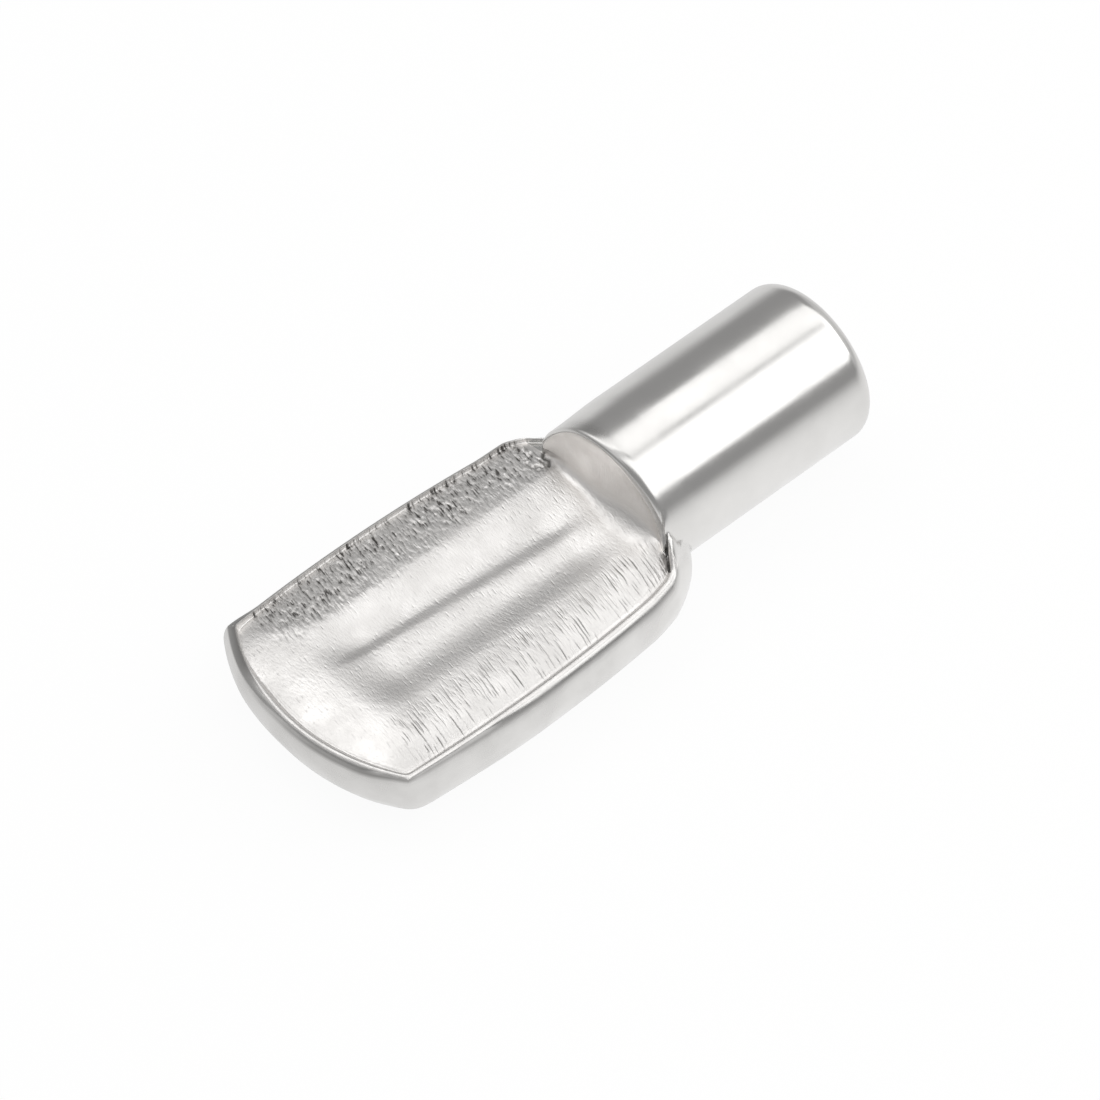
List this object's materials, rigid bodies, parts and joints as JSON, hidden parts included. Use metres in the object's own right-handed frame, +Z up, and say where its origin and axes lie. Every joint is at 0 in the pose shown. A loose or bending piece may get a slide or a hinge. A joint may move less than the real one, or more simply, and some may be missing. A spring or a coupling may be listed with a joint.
{
  "type": "shelf support pin",
  "caption": "Pressed metal shelf pin with a round peg for a cabinet hole and a flat spoon paddle that carries the shelf.",
  "frame": {"origin": "on the peg's axis, in the plane where the paddle's shoulders end and the full round wall of the peg starts, which is the cabinet side's face in use", "axes": "+X along the peg to its free end, +Z up out of the paddle's face, +Y across the paddle"},
  "size_m": [0.0195, 0.0082, 0.005],
  "materials": {
    "nickel": "nickel plated, polished peg and satin pressed face"
  },
  "bodies": {
    "root": {"shelf_pin": "nickel"}
  },
  "joints": []
}
